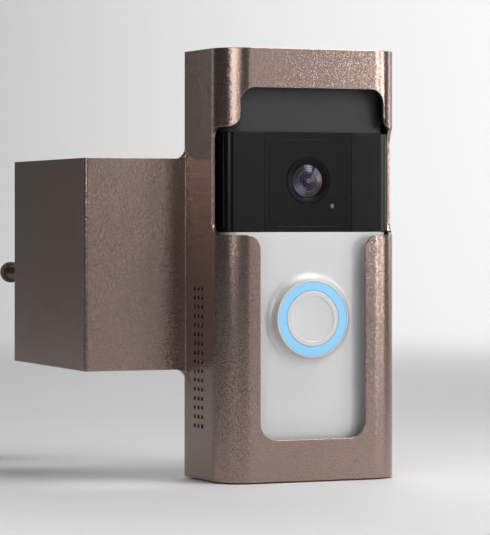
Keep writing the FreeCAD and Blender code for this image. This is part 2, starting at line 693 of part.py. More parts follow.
def setup_button():
    return fuse(disc(SETUP_X, SETUP_Z, 2.6, 24.3, 26.6), disc(SETUP_X, SETUP_Z, 1.2, 24.0, 24.3))


# ---- Electronics and battery ----

def main_board():
    board = rounded_block(-25.5, 25.5, BOARD_BACK, BOARD_FRONT, 4, 53, 2)
    return cut(board, *[disc(x, z, 1.2, 10, 16) for x, z in BOARD_SCREWS])


def board_screws():
    return Part.makeCompound([
        fuse(disc(x, z, 1.0, BOARD_BACK, 17), disc(x, z, 1.9, BOARD_BACK - 1.3, BOARD_BACK))
        for x, z in BOARD_SCREWS])


def radio_cans():
    cans = []
    low, high = 11, 25.5
    for left, right in ((-23, -4), (6, 23)):
        can = block(left, right, BOARD_FRONT, BOARD_FRONT + 2, low, high)
        inside = block(left + 0.3, right - 0.3, BOARD_FRONT - 1, BOARD_FRONT + 1.7, low + 0.3, high - 0.3)
        cans.append(can.cut(inside))
    return Part.makeCompound(cans)


def chips():
    places = ((-14, 16, 8.0), (14, 20, 9.0))
    return Part.makeCompound([
        block(x - size / 2, x + size / 2, BOARD_FRONT, BOARD_FRONT + 1.2, z - size / 2, z + size / 2)
        for x, z, size in places])


def heat_spreader():
    return rounded_block(-24, 24, 9.4, 10.4, 6, 44, 2)


def thermal_pad():
    return block(-20, 20, 10.4, BOARD_BACK, 10, 30)


def antenna():
    """Flexible aerial stuck to the inside of the frame's top wall."""
    high = BELL_HALF_HEIGHT - 2.1 - FRAME_WALL
    return block(-20, 20, 14, 22, high - 0.3, high)


def microphones():
    front = BOARD_FRONT + 1.1
    return Part.makeCompound([block(x - 2, x + 2, BOARD_FRONT, front, 33, 36) for x in (-21, 21)])


def speaker():
    """Slim box speaker that fires to the left, towards the holes in the shield."""
    box = block(-26.0, -21.6, 6.5, 18.5, -50, -14)
    cone = side_view([(8, -47, 3), (8, -17, 3), (17, -17, 3), (17, -47, 3)], -26.5, -25.3)
    return box.cut(cone)


def speaker_gasket():
    outer = side_view([(8.6, -50, 1), (8.6, -14, 1), (18.5, -14, 1), (18.5, -50, 1)], -26.9, -26.0)
    return outer.cut(side_view([(10, -48, 1), (10, -16, 1), (17.9, -16, 1), (17.9, -48, 1)], -27, -25))


def battery_pack():
    pack = rounded_block(-BATTERY_HALF, BATTERY_HALF, BATTERY_BACK, BATTERY_FRONT,
                         BATTERY_BOTTOM, BATTERY_TOP, 2.5)
    grip = block(-12, 12, BATTERY_FRONT - 0.6, BATTERY_FRONT + 1, -49, -47)
    return pack.cut(grip)


def battery_contacts():
    """Spring contact block above the battery."""
    holder = block(-9, 9, 8, 14, 1.2, 4.0)
    pins = [block(x - 0.8, x + 0.8, 9, 13, BATTERY_TOP, 1.2) for x in (-6, -2, 2, 6)]
    return fuse(holder, *pins)


def battery_latch():
    """Sliding catch on the front of the battery."""
    slide = block(-7, 7, BATTERY_FRONT + SLIP, BATTERY_FRONT + 1.8, -57.6, -51.2)
    face = BATTERY_FRONT + 1.8
    ridges = [block(-5, 5, face, face + 0.8, z, z + 0.8) for z in (-56.6, -54.8, -53.0)]
    return fuse(slide, *ridges)


NODES = {
    "shield_arm": shield_arm, "back_plate": back_plate, "shield_screws": shield_screws,
    "back_pad": back_pad, "leg_pad": leg_pad, "edge_pad": edge_pad, "rivet_nuts": rivet_nuts,
    "pressure_plate": pressure_plate, "pressure_pad": pressure_pad,
    "doorbell_bracket": doorbell_bracket, "bracket_screws": bracket_screws, "rear_case": rear_case,
    "case_gasket": case_gasket, "case_screws": case_screws, "terminal_screws": terminal_screws,
    "front_frame": front_frame, "head_cover": head_cover, "camera_window": camera_window,
    "lens_bezel": lens_bezel, "lens_glass": lens_glass, "lens_barrel": lens_barrel,
    "lens_elements": lens_elements, "camera_board": camera_board, "light_sensor": light_sensor,
    "motion_sensors": motion_sensors, "infrared_lamps": infrared_lamps, "top_cap": top_cap,
    "faceplate": faceplate, "security_screw": security_screw, "light_ring": light_ring,
    "button_cap": button_cap, "button_board": button_board, "ring_lamps": ring_lamps,
    "push_switches": push_switches, "setup_button": setup_button, "main_board": main_board,
    "board_screws": board_screws, "radio_cans": radio_cans, "chips": chips,
    "heat_spreader": heat_spreader,
    "thermal_pad": thermal_pad, "antenna": antenna, "microphones": microphones,
    "speaker": speaker, "speaker_gasket": speaker_gasket, "battery_pack": battery_pack,
    "battery_contacts": battery_contacts, "battery_latch": battery_latch,
}

for node, make in NODES.items():
    export(node, make())
for place in BOLT_PLACES:
    export("clamp_bolt_" + place, clamp_bolt(place))
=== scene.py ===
"""Finishes and fine detail for the video doorbell in its door-edge shield."""
import json
import math

import bmesh
import bpy
from mathutils import Matrix, Vector


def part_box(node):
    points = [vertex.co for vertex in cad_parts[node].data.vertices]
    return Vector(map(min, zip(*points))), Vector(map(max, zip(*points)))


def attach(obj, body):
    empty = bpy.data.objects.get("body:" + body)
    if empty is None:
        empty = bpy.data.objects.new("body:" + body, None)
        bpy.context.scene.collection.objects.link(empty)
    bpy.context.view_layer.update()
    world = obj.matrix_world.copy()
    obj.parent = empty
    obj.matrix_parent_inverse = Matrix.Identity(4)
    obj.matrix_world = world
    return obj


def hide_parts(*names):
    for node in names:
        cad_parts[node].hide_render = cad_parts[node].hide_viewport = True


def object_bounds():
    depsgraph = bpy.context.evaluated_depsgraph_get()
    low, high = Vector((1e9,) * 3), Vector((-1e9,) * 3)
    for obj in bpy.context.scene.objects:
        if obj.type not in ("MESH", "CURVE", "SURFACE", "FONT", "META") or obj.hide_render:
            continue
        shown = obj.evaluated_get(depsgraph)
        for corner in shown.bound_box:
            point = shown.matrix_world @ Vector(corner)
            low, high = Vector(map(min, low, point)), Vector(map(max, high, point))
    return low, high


bl_info = {
    "name": "Video Doorbell",
    "version": (1, 0, 0),
    "blender": (4, 5, 0),
    "location": "View3D > Sidebar > Doorbell",
    "description": "Builds the finishes, threads and studio round a clamped video doorbell",
    "category": "Object",
}

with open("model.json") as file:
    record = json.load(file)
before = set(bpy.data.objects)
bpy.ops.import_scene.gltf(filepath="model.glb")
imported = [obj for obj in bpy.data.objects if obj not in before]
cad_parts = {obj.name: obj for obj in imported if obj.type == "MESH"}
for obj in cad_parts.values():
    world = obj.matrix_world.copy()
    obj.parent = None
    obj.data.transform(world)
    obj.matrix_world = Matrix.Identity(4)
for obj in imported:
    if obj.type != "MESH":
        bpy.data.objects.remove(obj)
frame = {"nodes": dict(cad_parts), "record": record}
CAD_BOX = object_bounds()
MM = 0.001
RECORD = frame["record"]
BODY_OF = {node: body for body, nodes in RECORD["behaviour"]["bodies"].items() for node in nodes}
SLOT_OF = {part["node"]: part["material_slot"] for part in RECORD["subparts"]}
CORNER_ANGLE = math.radians(38)     # sharper corners than this are eased
VIEW_TURN = math.radians(-22.5)     # how far the camera is turned towards the doorbell


# ---- Node trees ----

class Value:
    """An output in a node tree; arithmetic on it adds Math nodes to that tree."""

    def __init__(self, net, socket):
        self.net = net
        self.socket = socket

    def maths(self, operation, *others):
        values = dict(enumerate((self,) + others))
        return self.net.node("ShaderNodeMath", {"operation": operation}, values)

    def __add__(self, other):
        return self.maths("ADD", other)

    def __sub__(self, other):
        return self.maths("SUBTRACT", other)

    def __mul__(self, other):
        return self.maths("MULTIPLY", other)

    def __truediv__(self, other):
        return self.maths("DIVIDE", other)

    __radd__ = __add__
    __rmul__ = __mul__

    def __rsub__(self, other):
        return (self * -1.0) + other

    def __pow__(self, power):
        return self.maths("POWER", power)

    def __abs__(self):
        return self.maths("ABSOLUTE")

    def clamped(self):
        return self.maths("MINIMUM", 1.0).maths("MAXIMUM", 0.0)

    def between(self, low, high):
        """0 below low and 1 above high, smooth in between."""
        return self.net.node(
            "ShaderNodeMapRange", {"interpolation_type": "SMOOTHSTEP"}, {"Value": self, 1: low, 2: high})

    def parts(self):
        """The three parts of a vector."""
        split = self.net.node("ShaderNodeSeparateXYZ", None, {0: self})
        return [Value(self.net, socket) for socket in split.socket.node.outputs]


class Net:
    """A node tree in the making."""

    def __init__(self, tree):
        self.tree = tree

    def node(self, kind, settings=None, values=None, output=0):
        """Adds a node, with its settings first, then the values or links of its sockets."""
        made = self.tree.nodes.new(kind)
        for key, value in (settings or {}).items():
            if key == "stops":
                set_stops(made.color_ramp.elements, value)
            else:
                setattr(made, key, value)
        for key, value in (values or {}).items():
            self.feed(made.inputs[key], value)
        return Value(self, made.outputs[output])

    def feed(self, socket, value):
        if isinstance(value, Value):
            self.tree.links.new(value.socket, socket)
        else:
            socket.default_value = value


def set_stops(elements, stops):
    while len(elements) < len(stops):
        elements.new(0.5)
    for element, (position, colour) in zip(elements, stops):
        element.position = position
        element.color = (*colour, 1.0)


class Finish(Net):
    """One material: a Principled shader and the nodes that feed it."""

    def __init__(self, name, **constants):
        self.material = bpy.data.materials.new(name)
        self.material.use_nodes = True
        super().__init__(self.material.node_tree)
        self.shader = next(n for n in self.tree.nodes if n.type == "BSDF_PRINCIPLED")
        self.place = self.node("ShaderNodeTexCoord", None, None, output="Object")
        for key, value in constants.items():
            socket = self.shader.inputs[key.replace("_", " ")]
            socket.default_value = (*value, 1.0) if isinstance(value, tuple) else value
        colour = constants.get("Base_Color", (0.8, 0.8, 0.8))
        self.material.diffuse_color = (*colour, 1.0)

    def to(self, name, value):
        self.feed(self.shader.inputs[name], value)

    def scaled(self, factors, origin=(0, 0, 0)):
        """Object position, moved so that origin is at zero and stretched along each axis."""
        moved = self.node("ShaderNodeVectorMath", {"operation": "SUBTRACT"}, {0: self.place, 1: origin})
        return self.node("ShaderNodeVectorMath", {"operation": "MULTIPLY"}, {0: moved, 1: factors})

    def noise(self, size, detail=3.0, rough=0.55, stretch=(1, 1, 1)):
        """Noise whose blobs measure about size metres."""
        place = self.scaled(stretch)
        return self.node("ShaderNodeTexNoise", None, {
            "Vector": place, "Scale": 1.0 / size, "Detail": detail, "Roughness": rough})

    def mix(self, factor, first, second):
        settings = {"data_type": "RGBA"}
        first = (*first, 1.0) if isinstance(first, tuple) else first
        second = (*second, 1.0) if isinstance(second, tuple) else second
        return self.node("ShaderNodeMix", settings, {0: factor, 6: first, 7: second}, output=2)

    def bump(self, height, depth, strength=1.0):
        self.to("Normal", self.node("ShaderNodeBump", None, {
            "Strength": strength, "Distance": depth, "Height": height}))

    def radius_from(self, centre):
        """Distance in metres from the line through centre along the depth."""
        flat = self.scaled((1, 0, 1), centre)
        return self.node("ShaderNodeVectorMath", {"operation": "LENGTH"}, {0: flat}, output=1)


class Pattern(Net):
    """A Geometry Nodes tree with named inputs that ends in Realize Instances and Set Material."""

    def __init__(self, name, **sizes):
        super().__init__(bpy.data.node_groups.new(name, "GeometryNodeTree"))
        self.sockets = {}
        self.tree.interface.new_socket("Geometry", in_out="OUTPUT", socket_type="NodeSocketGeometry")
        for key, size in sizes.items():
            kind = "NodeSocketInt" if isinstance(size, int) else "NodeSocketFloat"
            socket = self.tree.interface.new_socket(key, in_out="INPUT", socket_type=kind)
            socket.default_value = size
            self.sockets[key] = socket.identifier
        self.group = self.tree.nodes.new("NodeGroupInput")

    def size(self, key):
        return Value(self, self.group.outputs[key])

    def end(self, geometry, finish):
        real = self.node("GeometryNodeRealizeInstances", None, {"Geometry": geometry})
        painted = self.node("GeometryNodeSetMaterial", None, {"Geometry": real, "Material": finish})
        end = self.tree.nodes.new("NodeGroupOutput")
        self.feed(end.inputs[0], painted)

    def mesh(self, name, **sizes):
        """Plain mesh of the tree's result for these sizes."""
        piece = add_object(name, bpy.data.meshes.new(name))
        modifier = piece.modifiers.new("pattern", "NODES")
        modifier.node_group = self.tree
        for key, size in sizes.items():
            modifier[self.sockets[key]] = size
        return baked(piece)


def tone(colour, factor):
    return tuple(min(1.0, channel * factor) for channel in colour)


def middle_and_reach(node):
    """Centre of a CAD node and half its width."""
    low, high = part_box(node)
    return tuple((low + high) / 2), (high.x - low.x) / 2


# ---- Finishes ----

FLOW_DEPTH = 0.006 * MM     # waviness left in polished plastic


def bronze_flake(name, colour, tilt, rough):
    """Warm metallic powder coat: fine tilted flakes, a few of them bright, slow drift of tone, edges a little
    brighter, partly rubbed paint and partly a painted highlight, and the inner faces of the sound holes
    darkened almost to black as painted shade."""
    flake = 0.22 * MM
    coat = Finish(name, Base_Color=colour, Metallic=0.85, Coat_Roughness=0.2, Coat_Weight=0.08)
    cells = coat.node("ShaderNodeTexVoronoi", {"feature": "F1"}, {
        "Vector": coat.place, "Scale": 1.0 / flake, "Randomness": 1.0}, output=1)
    middle = (0.5, 0.5, 0.5)
    lean = coat.node("ShaderNodeVectorMath", {"operation": "SUBTRACT"}, {0: cells, 1: middle})
    lean = coat.node("ShaderNodeVectorMath", {"operation": "SCALE"}, {0: lean, "Scale": tilt})
    normal = coat.node("ShaderNodeNewGeometry", None, None, output=1)
    turned_normal = coat.node("ShaderNodeVectorMath", {"operation": "ADD"}, {0: normal, 1: lean})
    turned_normal = coat.node("ShaderNodeVectorMath", {"operation": "NORMALIZE"}, {0: turned_normal})
    grain = coat.noise(0.0007, 3.0, 0.6)
    coat.to("Normal", coat.node("ShaderNodeBump", None, {
        "Strength": 0.2, "Distance": 0.00004, "Height": grain, "Normal": turned_normal}))
    bright = cells.parts()[0].between(0.8, 1.0)
    drift = coat.noise(0.03, 2.0).between(0.35, 0.65)
    base = coat.mix(drift * 0.35, tone(colour, 0.95), tone(colour, 1.06))
    flaked = coat.mix(bright * 0.35, base, tone(colour, 1.5))
    # Eased edges a little brighter in patches: partly rubbed paint, partly a painted highlight where the edges
    # catch light.
    wear_and_edge_highlight = coat.node("ShaderNodeAttribute", {"attribute_name": "edge"}, None, output=2)
    wear_and_edge_highlight = wear_and_edge_highlight * coat.noise(0.004, 4.0).between(0.35, 0.7)
    flaked = coat.mix(wear_and_edge_highlight * 0.4, flaked, tone(colour, 1.3))
    # Inner faces of the sound holes painted almost black: painted shade inside the holes.
    bore = coat.node("ShaderNodeAttribute", {"attribute_name": "bore"}, None, output=2)
    coat.to("Base Color", coat.mix(bore * 0.9, flaked, tone(colour, 0.05)))
    coat.to("Roughness", grain * 0.08 + (rough - 0.04) + wear_and_edge_highlight * -0.04)
    return coat.material


def sheet_metal(name, colour, rough, brush=(1, 1, 1)):
    """Plated or plain metal with fine rolling lines and faint blotches."""
    metal = Finish(name, Base_Color=colour, Metallic=1.0)
    lines = metal.noise(0.0006, 4.0, 0.6, brush)
    blotch = metal.noise(0.006, 3.0)
    worn, fresh = tone(colour, 0.86), tone(colour, 1.08)
    metal.to("Base Color", metal.mix(blotch.between(0.3, 0.75), worn, fresh))
    metal.to("Roughness", lines * 0.22 + blotch * 0.1 + (rough - 0.15))
    metal.bump(lines, 0.01 * MM, 0.6)
    return metal.material


def moulded(name, colour, rough, texture=0.25 * MM, depth=0.02 * MM):
    """Moulded plastic with spark-eroded texture and slight handling marks."""
    plastic = Finish(name, Base_Color=colour)
    pits = plastic.noise(texture, 2.0, 0.5)
    marks = plastic.noise(0.012, 3.0)
    dull, clean = tone(colour, 0.93), tone(colour, 1.07)
    plastic.to("Base Color", plastic.mix(marks.between(0.35, 0.7), dull, clean))
    plastic.to("Roughness", marks * 0.1 + pits * 0.06 + (rough - 0.08))
    plastic.bump(pits, depth, 0.7)
    return plastic.material


def polished(name, colour, rough, shine=0.3):
    """Polished dark plastic: almost flat, with a hint of flow and a few wipe marks."""
    plastic = Finish(name, Base_Color=colour, Specular_IOR_Level=shine)
    flow = plastic.noise(0.02, 1.0)
    wipes = plastic.noise(0.004, 4.0, 0.6, (1, 1, 0.25))
    plastic.to("Base Color", plastic.mix(flow, tone(colour, 0.92), tone(colour, 1.1)))
    plastic.to("Roughness", wipes.between(0.5, 0.8) * 0.05 + rough)
    plastic.bump(flow, FLOW_DEPTH, 0.1)
    return plastic.material


def pane_with_gap_shade(name, colour):
    """Polished dark pane with a black ring round the light sensor, and a black ring round the lens that is
    painted shade in the gap round the bezel.
    """
    pane = Finish(name, Base_Color=colour, Specular_IOR_Level=0.3)
    flow = pane.noise(0.02, 1.0)
    base = pane.mix(flow, tone(colour, 0.92), tone(colour, 1.1))
    sensor, _ = middle_and_reach("light_sensor")
    lens, reach = middle_and_reach("lens_bezel")
    by_sensor = 1.0 - pane.radius_from(sensor).between(1.45 * MM, 1.75 * MM)
    # Black ring just outside the lens bezel: painted shade in the gap round the bezel.
    lens_gap_shade = 1.0 - pane.radius_from(lens).between(reach + 0.15 * MM, reach + 0.4 * MM)
    ring_black = (0.0005, 0.0005, 0.0005)
    pane.to("Base Color", pane.mix(by_sensor.maths("MAXIMUM", lens_gap_shade), base, ring_black))
    pane.to("Roughness", pane.noise(0.004, 4.0).between(0.5, 0.8) * 0.05 + 0.2)
    pane.bump(flow, FLOW_DEPTH, 0.1)
    return pane.material


def soft_foam(name, colour, cell):
    """Closed-cell foam or rubber: small dimples all over."""
    foam = Finish(name, Base_Color=colour)
    cells = foam.node("ShaderNodeTexVoronoi", {"feature": "SMOOTH_F1"}, {
        "Vector": foam.place, "Scale": 1.0 / cell, "Smoothness": 0.6})
    dust = foam.noise(0.008, 3.0)
    clean, dusty = tone(colour, 0.85), tone(colour, 1.35)
    foam.to("Base Color", foam.mix(dust.between(0.4, 0.8), clean, dusty))
    foam.to("Roughness", dust * 0.1 + 0.78)
    foam.bump(cells, cell * 0.25, 0.8)
    return foam.material


def circuit_board(name):
    """Green solder mask over faint traces."""
    mask, over_copper = (0.02, 0.12, 0.05), (0.06, 0.24, 0.1)
    board = Finish(name, Base_Color=mask, Coat_Weight=0.3)
    traces = board.node("ShaderNodeTexBrick", {"offset": 0.5}, {
        "Vector": board.scaled((600, 0, 600)), "Scale": 1.0, "Mortar Size": 0.06}, output=1)
    board.to("Base Color", board.mix(traces, mask, over_copper))
    board.to("Roughness", board.noise(0.002) * 0.1 + 0.35)
    board.bump(traces, 0.03 * MM, 0.5)
    return board.material


def lit_guide(name, colour, glow):
    """Milky light guide, lit evenly with a faint haze."""
    guide = Finish(name, Base_Color=colour, Emission_Strength=glow)
    haze = guide.noise(0.0015, 2.0)
    guide.to("Base Color", guide.mix(haze, tone(colour, 0.6), tone(colour, 0.64)))
    guide.to("Emission Color", guide.mix(haze, tone(colour, 0.98), tone(colour, 1.02)))
    guide.to("Roughness", haze * 0.1 + 0.35)
    return guide.material


def lens_with_painted_reflections(name, centre, reach):
    """Coated elements seen through the front glass: fine rings, with painted reflections: a bright centre, a
    thin bright ring and coloured tints that turn round the axis.
    """
    lens = Finish(name, Specular_IOR_Level=0.22)
    across, _, up = lens.scaled((1 / reach, 0, 1 / reach), centre).parts()
    radius = lens.radius_from(centre) * (1.0 / reach)
    turn = (up.maths("ARCTAN2", across) / math.tau).maths("FRACT")
    # Tints that turn round the axis: painted reflections on the coated elements, with a dark line across the
    # bright wedge.
    reflection_tints = lens.node("ShaderNodeValToRGB", {"stops": (
        (0.0, (0.13, 0.085, 0.12)), (0.07, (0.17, 0.12, 0.16)), (0.10, (0.15, 0.14, 0.22)),
        (0.155, (0.17, 0.17, 0.27)), (0.165, (0.02, 0.02, 0.035)), (0.185, (0.02, 0.02, 0.035)),
        (0.195, (0.15, 0.17, 0.26)), (0.25, (0.12, 0.14, 0.22)), (0.262, (0.035, 0.04, 0.055)),
        (0.45, (0.04, 0.042, 0.055)), (0.53, (0.075, 0.07, 0.11)), (0.60, (0.19, 0.175, 0.27)),
        (0.69, (0.14, 0.13, 0.19)), (0.73, (0.035, 0.045, 0.05)), (0.84, (0.03, 0.05, 0.035)),
        (0.91, (0.035, 0.03, 0.035)), (0.99, (0.11, 0.07, 0.10)))}, {0: turn})
    ring = (radius * 47.0).maths("SINE") * 0.5 + 0.5
    # Bright centre fading outwards: a painted glint.
    middle = lens.mix(radius.between(0.10, 0.16), (0.17, 0.14, 0.22), (0.012, 0.012, 0.022))
    # Fine rings over the centre, lightened as painted reflection.
    core = lens.mix((ring ** 4.0) * 0.85, middle, (0.13, 0.125, 0.16))
    rim = lens.mix(radius.between(0.42, 0.6), core, reflection_tints)
    lined = lens.mix((ring ** 2.0) * 0.6, rim, (0.012, 0.012, 0.02))
    # A thin bright ring: a painted reflection.
    reflection_band = (1.0 - abs(radius - 0.66) * 40.0).clamped()
    lined = lens.mix(reflection_band * 0.7, lined, (0.17, 0.16, 0.2))
    lens.to("Base Color", lens.mix(radius.between(0.95, 0.99), lined, (0.004, 0.004, 0.004)))
    lens.to("Roughness", ring * 0.1 + 0.1)
    lens.bump(ring, 0.03 * MM, 0.4)
    return lens.material


def satin_silver(name, colour):
    """Silver painted plastic: fine pearl in a satin clear coat."""
    satin = Finish(name, Base_Color=colour, Metallic=0.35, Coat_Roughness=0.3, Coat_Weight=0.1)
    pearl = satin.noise(0.22 * MM, 2.0, 0.6)
    drift = satin.noise(0.02, 2.0)
    deep, bright = tone(colour, 0.965), tone(colour, 1.03)
    satin.to("Base Color", satin.mix(pearl.between(0.3, 0.7), deep, bright))
    satin.to("Roughness", drift * 0.06 + pearl * 0.08 + 0.4)
    satin.bump(pearl, 0.006 * MM, 0.5)
    return satin.material


def make_finishes(look):
    bronze = tuple(look.bronze)
    silver = tuple(look.silver)
    return {
        "bronze_paint": bronze_flake("bronze_paint", bronze, 0.14, 0.2),
        "bronze_bolt": bronze_flake("bronze_bolt", tone(bronze, 0.45), 0.15, 0.35),
        "galvanised": sheet_metal("galvanised", (0.5, 0.51, 0.52), 0.42),
        "black_steel": sheet_metal("black_steel", (0.05, 0.05, 0.052), 0.45, (1, 1, 0.1)),
        "zinc": sheet_metal("zinc", (0.62, 0.62, 0.6), 0.3),
        "rubber": soft_foam("rubber", (0.018, 0.018, 0.019), 0.0004),
        "foam": soft_foam("foam", (0.035, 0.035, 0.037), 0.0007),
        "case_plastic": moulded("case_plastic", (0.02, 0.02, 0.021), 0.5),
        "cap_plastic": moulded("cap_plastic", tuple(look.cap_grey), 0.5, 0.2 * MM, 0.012 * MM),
        "gloss_black": polished("gloss_black", tuple(look.head_black), 0.24),
        "pane": pane_with_gap_shade("pane", tuple(look.head_black)),
        "lens_black": polished("lens_black", (0.003, 0.003, 0.003), 0.4, 0.14),
        "satin_silver": satin_silver("satin_silver", silver),
        "button_plastic": satin_silver("button_plastic", silver),
        "light_guide": lit_guide("light_guide", tuple(look.ring_blue), look.ring_glow),
        "circuit_board": circuit_board("circuit_board"),
        "tin": sheet_metal("tin", (0.6, 0.6, 0.58), 0.35),
        "chip_black": moulded("chip_black", (0.015, 0.015, 0.015), 0.45),
        "aluminium": sheet_metal("aluminium", (0.7, 0.71, 0.72), 0.35, (0.1, 1, 1)),
        "thermal_grey": soft_foam("thermal_grey", (0.2, 0.22, 0.26), 0.0006),
        "copper_film": sheet_metal("copper_film", (0.5, 0.26, 0.1), 0.4),
        "sensor_white": moulded("sensor_white", (0.16, 0.16, 0.16), 0.5),
        "lamp_clear": moulded("lamp_clear", (0.75, 0.75, 0.68), 0.2),
        "orange_plastic": moulded("orange_plastic", (0.6, 0.13, 0.015), 0.4),
        "battery_plastic": moulded("battery_plastic", (0.03, 0.03, 0.032), 0.5),
        "gold_contact": sheet_metal("gold_contact", (0.8, 0.55, 0.2), 0.3),
    }


# ---- Mesh work ----

def add_object(name, mesh):
    piece = bpy.data.objects.new(name, mesh)
    bpy.context.scene.collection.objects.link(piece)
    return piece


def baked(piece):
    """The piece with its modifiers worked into a plain mesh and removed."""
    graph = bpy.context.evaluated_depsgraph_get()
    mesh = bpy.data.meshes.new_from_object(piece.evaluated_get(graph), depsgraph=graph)
    piece.modifiers.clear()
    old = piece.data
    piece.data = mesh
    bpy.data.meshes.remove(old)
    return piece


def smooth(mesh, angle=32.0):
    mesh.polygons.foreach_set("use_smooth", [True] * len(mesh.polygons))
    mesh.set_sharp_from_angle(angle=math.radians(angle))


def fasten(piece, node, finish):
    """Puts a finish on a piece that stands for a CAD node, and lets it ride on that node's body."""
    piece.data.materials.clear()
    piece.data.materials.append(finish)
    for polygon in piece.data.polygons:
        polygon.material_index = 0
    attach(piece, BODY_OF[node])
    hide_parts(node)


def eased_copy(node, name, edge, keep_sharp=lambda place: False):
    """Copy of a CAD node with its loose triangles joined and its outward corners eased by edge metres, except
    where keep_sharp says yes."""
    bm = bmesh.new()
    bm.from_mesh(frame["nodes"][node].data)
    bmesh.ops.remove_doubles(bm, verts=bm.verts, dist=2e-6)
    bmesh.ops.dissolve_degenerate(bm, edges=bm.edges, dist=1e-6)
    flat = math.radians(0.6)
    bmesh.ops.dissolve_limit(
        bm, angle_limit=flat, verts=bm.verts, edges=bm.edges, use_dissolve_boundaries=False)
    bmesh.ops.recalc_face_normals(bm, faces=bm.faces)
    weights = bm.edges.layers.float.new("bevel_weight_edge")
    for line in bm.edges:
        corner = len(line.link_faces) == 2 and line.calc_face_angle_signed() > CORNER_ANGLE
        middle = (line.verts[0].co + line.verts[1].co) / 2
        line[weights] = float(corner and not keep_sharp(middle))
    mesh = bpy.data.meshes.new(name)
    bm.to_mesh(mesh)
    bm.free()
    piece = add_object(name, mesh)
    if not edge:
        smooth(mesh)
        return piece
    mesh.polygons.foreach_set("use_smooth", [True] * len(mesh.polygons))
    bevel = piece.modifiers.new("eased edges", "BEVEL")
    bevel.width = edge
    bevel.segments = 2
    bevel.limit_method = "WEIGHT"
    bevel.use_clamp_overlap = False
    bevel.material = 1
    level = piece.modifiers.new("level normals", "WEIGHTED_NORMAL")
    level.mode = "FACE_AREA"
    level.weight = 100
    mesh.materials.append(None)
    mesh.materials.append(None)
    baked(piece)
    mark_faces(piece.data, "edge", lambda face: face.material_index)
    return piece


def mark_faces(mesh, name, mark):
    """Keeps a number for each face, as an attribute that finishes read."""
    marks = [float(mark(face)) for face in mesh.polygons]
    mesh.attributes.new(name, "FLOAT", "FACE").data.foreach_set("value", marks)


def turned(mesh, rings, centre, sides=36):
    """Adds a closed solid turned about the depth axis to a bmesh. A ring is (y, radius), or (y, flats, 6) for
    a hexagon whose flats are that far from its axis; a face closes the first ring and another the last."""
    x, z = centre
    previous = None
    for y, radius, *corners in rings:
        ring = []
        for side in range(sides):
            angle = math.tau * side / sides
            reach = radius
            if corners:
                sector = math.tau / corners[0]
                reach = radius / math.cos((angle + sector / 2) % sector - sector / 2)
            ring.append(mesh.verts.new((x + reach * math.cos(angle), y, z + reach * math.sin(angle))))
        if previous:
            for side in range(sides):
                after = (side + 1) % sides
                mesh.faces.new((previous[side], previous[after], ring[after], ring[side]))
        else:
            mesh.faces.new(ring)
        previous = ring
    mesh.faces.new(previous)


def turned_piece(name, solids):
    """Plain mesh object from a list of (rings, centre)."""
    bm = bmesh.new()
    for rings, centre in solids:
        turned(bm, rings, centre)
    bmesh.ops.recalc_face_normals(bm, faces=bm.faces)
    mesh = bpy.data.meshes.new(name)
    bm.to_mesh(mesh)
    bm.free()
    return add_object(name, mesh)


def joined(name, pieces):
    """One mesh object made of several, which are removed."""
    bm = bmesh.new()
    for piece in pieces:
        bm.from_mesh(piece.data)
        mesh = piece.data
        bpy.data.objects.remove(piece)
        bpy.data.meshes.remove(mesh)
    mesh = bpy.data.meshes.new(name)
    bm.to_mesh(mesh)
    bm.free()
    return add_object(name, mesh)


# ---- Settings ----

class DoorbellLook(bpy.types.PropertyGroup):
    """Colours and sizes that a user may want to change."""

    bronze: bpy.props.FloatVectorProperty(
        name="Bronze", description="Colour of the shield's powder coat", subtype="COLOR",
        default=(0.365, 0.27, 0.233), min=0, max=1)
    silver: bpy.props.FloatVectorProperty(
        name="Silver", description="Colour of the faceplate and the button", subtype="COLOR",
        default=(0.71, 0.71, 0.715), min=0, max=1)
    head_black: bpy.props.FloatVectorProperty(
        name="Head black", description="Colour of the glossy head", subtype="COLOR",
        default=(0.0035, 0.0035, 0.0037), min=0, max=1)
    cap_grey: bpy.props.FloatVectorProperty(
        name="Cap grey", description="Colour of the matt top cap", subtype="COLOR",
        default=(0.025, 0.025, 0.026), min=0, max=1)
    ring_blue: bpy.props.FloatVectorProperty(
        name="Ring blue", description="Colour of the lit ring", subtype="COLOR",
        default=(0.30, 0.66, 0.97), min=0, max=1)
    ring_glow: bpy.props.FloatProperty(
        name="Ring glow", description="How strongly the ring shines", default=0.4, min=0, max=5)
    edge: bpy.props.FloatProperty(
        name="Edge radius", description="How far sheet edges are eased", default=0.22 * MM,
        min=0, max=0.5 * MM, unit="LENGTH", precision=5)

FINISHES = {}


def look():
    return bpy.context.scene.doorbell_look


def finish_for(node):
    if not FINISHES:
        FINISHES.update(make_finishes(look()))
    return FINISHES[SLOT_OF[node]]


def refine(node, edge, **options):
    piece = eased_copy(node, node + "_fine", edge, **options)
    fasten(piece, node, finish_for(node))
    return piece


def refine_all(**edges):
    """Eased copies of several nodes; each edge is in millimetres."""
    for node, edge in edges.items():
        refine(node, edge * MM)


# ---- Operators ----

class DOORBELL_OT_shield(bpy.types.Operator):
    """Bent bronze sheet of the shield and arm, with eased cut edges"""
    bl_idname = "doorbell.shield"
    bl_label = "Shield and arm"

    def execute(self, context):
        shield = refine("shield_arm", look().edge, keep_sharp=by_sound_holes)
        # Marks the inner faces of the sound holes, which the paint darkens almost to black as painted shade.
        mark_faces(shield.data, "bore", in_a_bore)
        return {"FINISHED"}


def by_sound_holes(place):
    """True in the block of holes in the left wall."""
    x, y, z = place / MM
    return x < -30 and -17.2 < y < -8.7 and -57.5 < z < -7.2


def in_a_bore(face):
    """True for the inner faces of the sound holes, which are square to the wall."""
    return by_sound_holes(face.center) and abs(face.normal.x) < 0.5


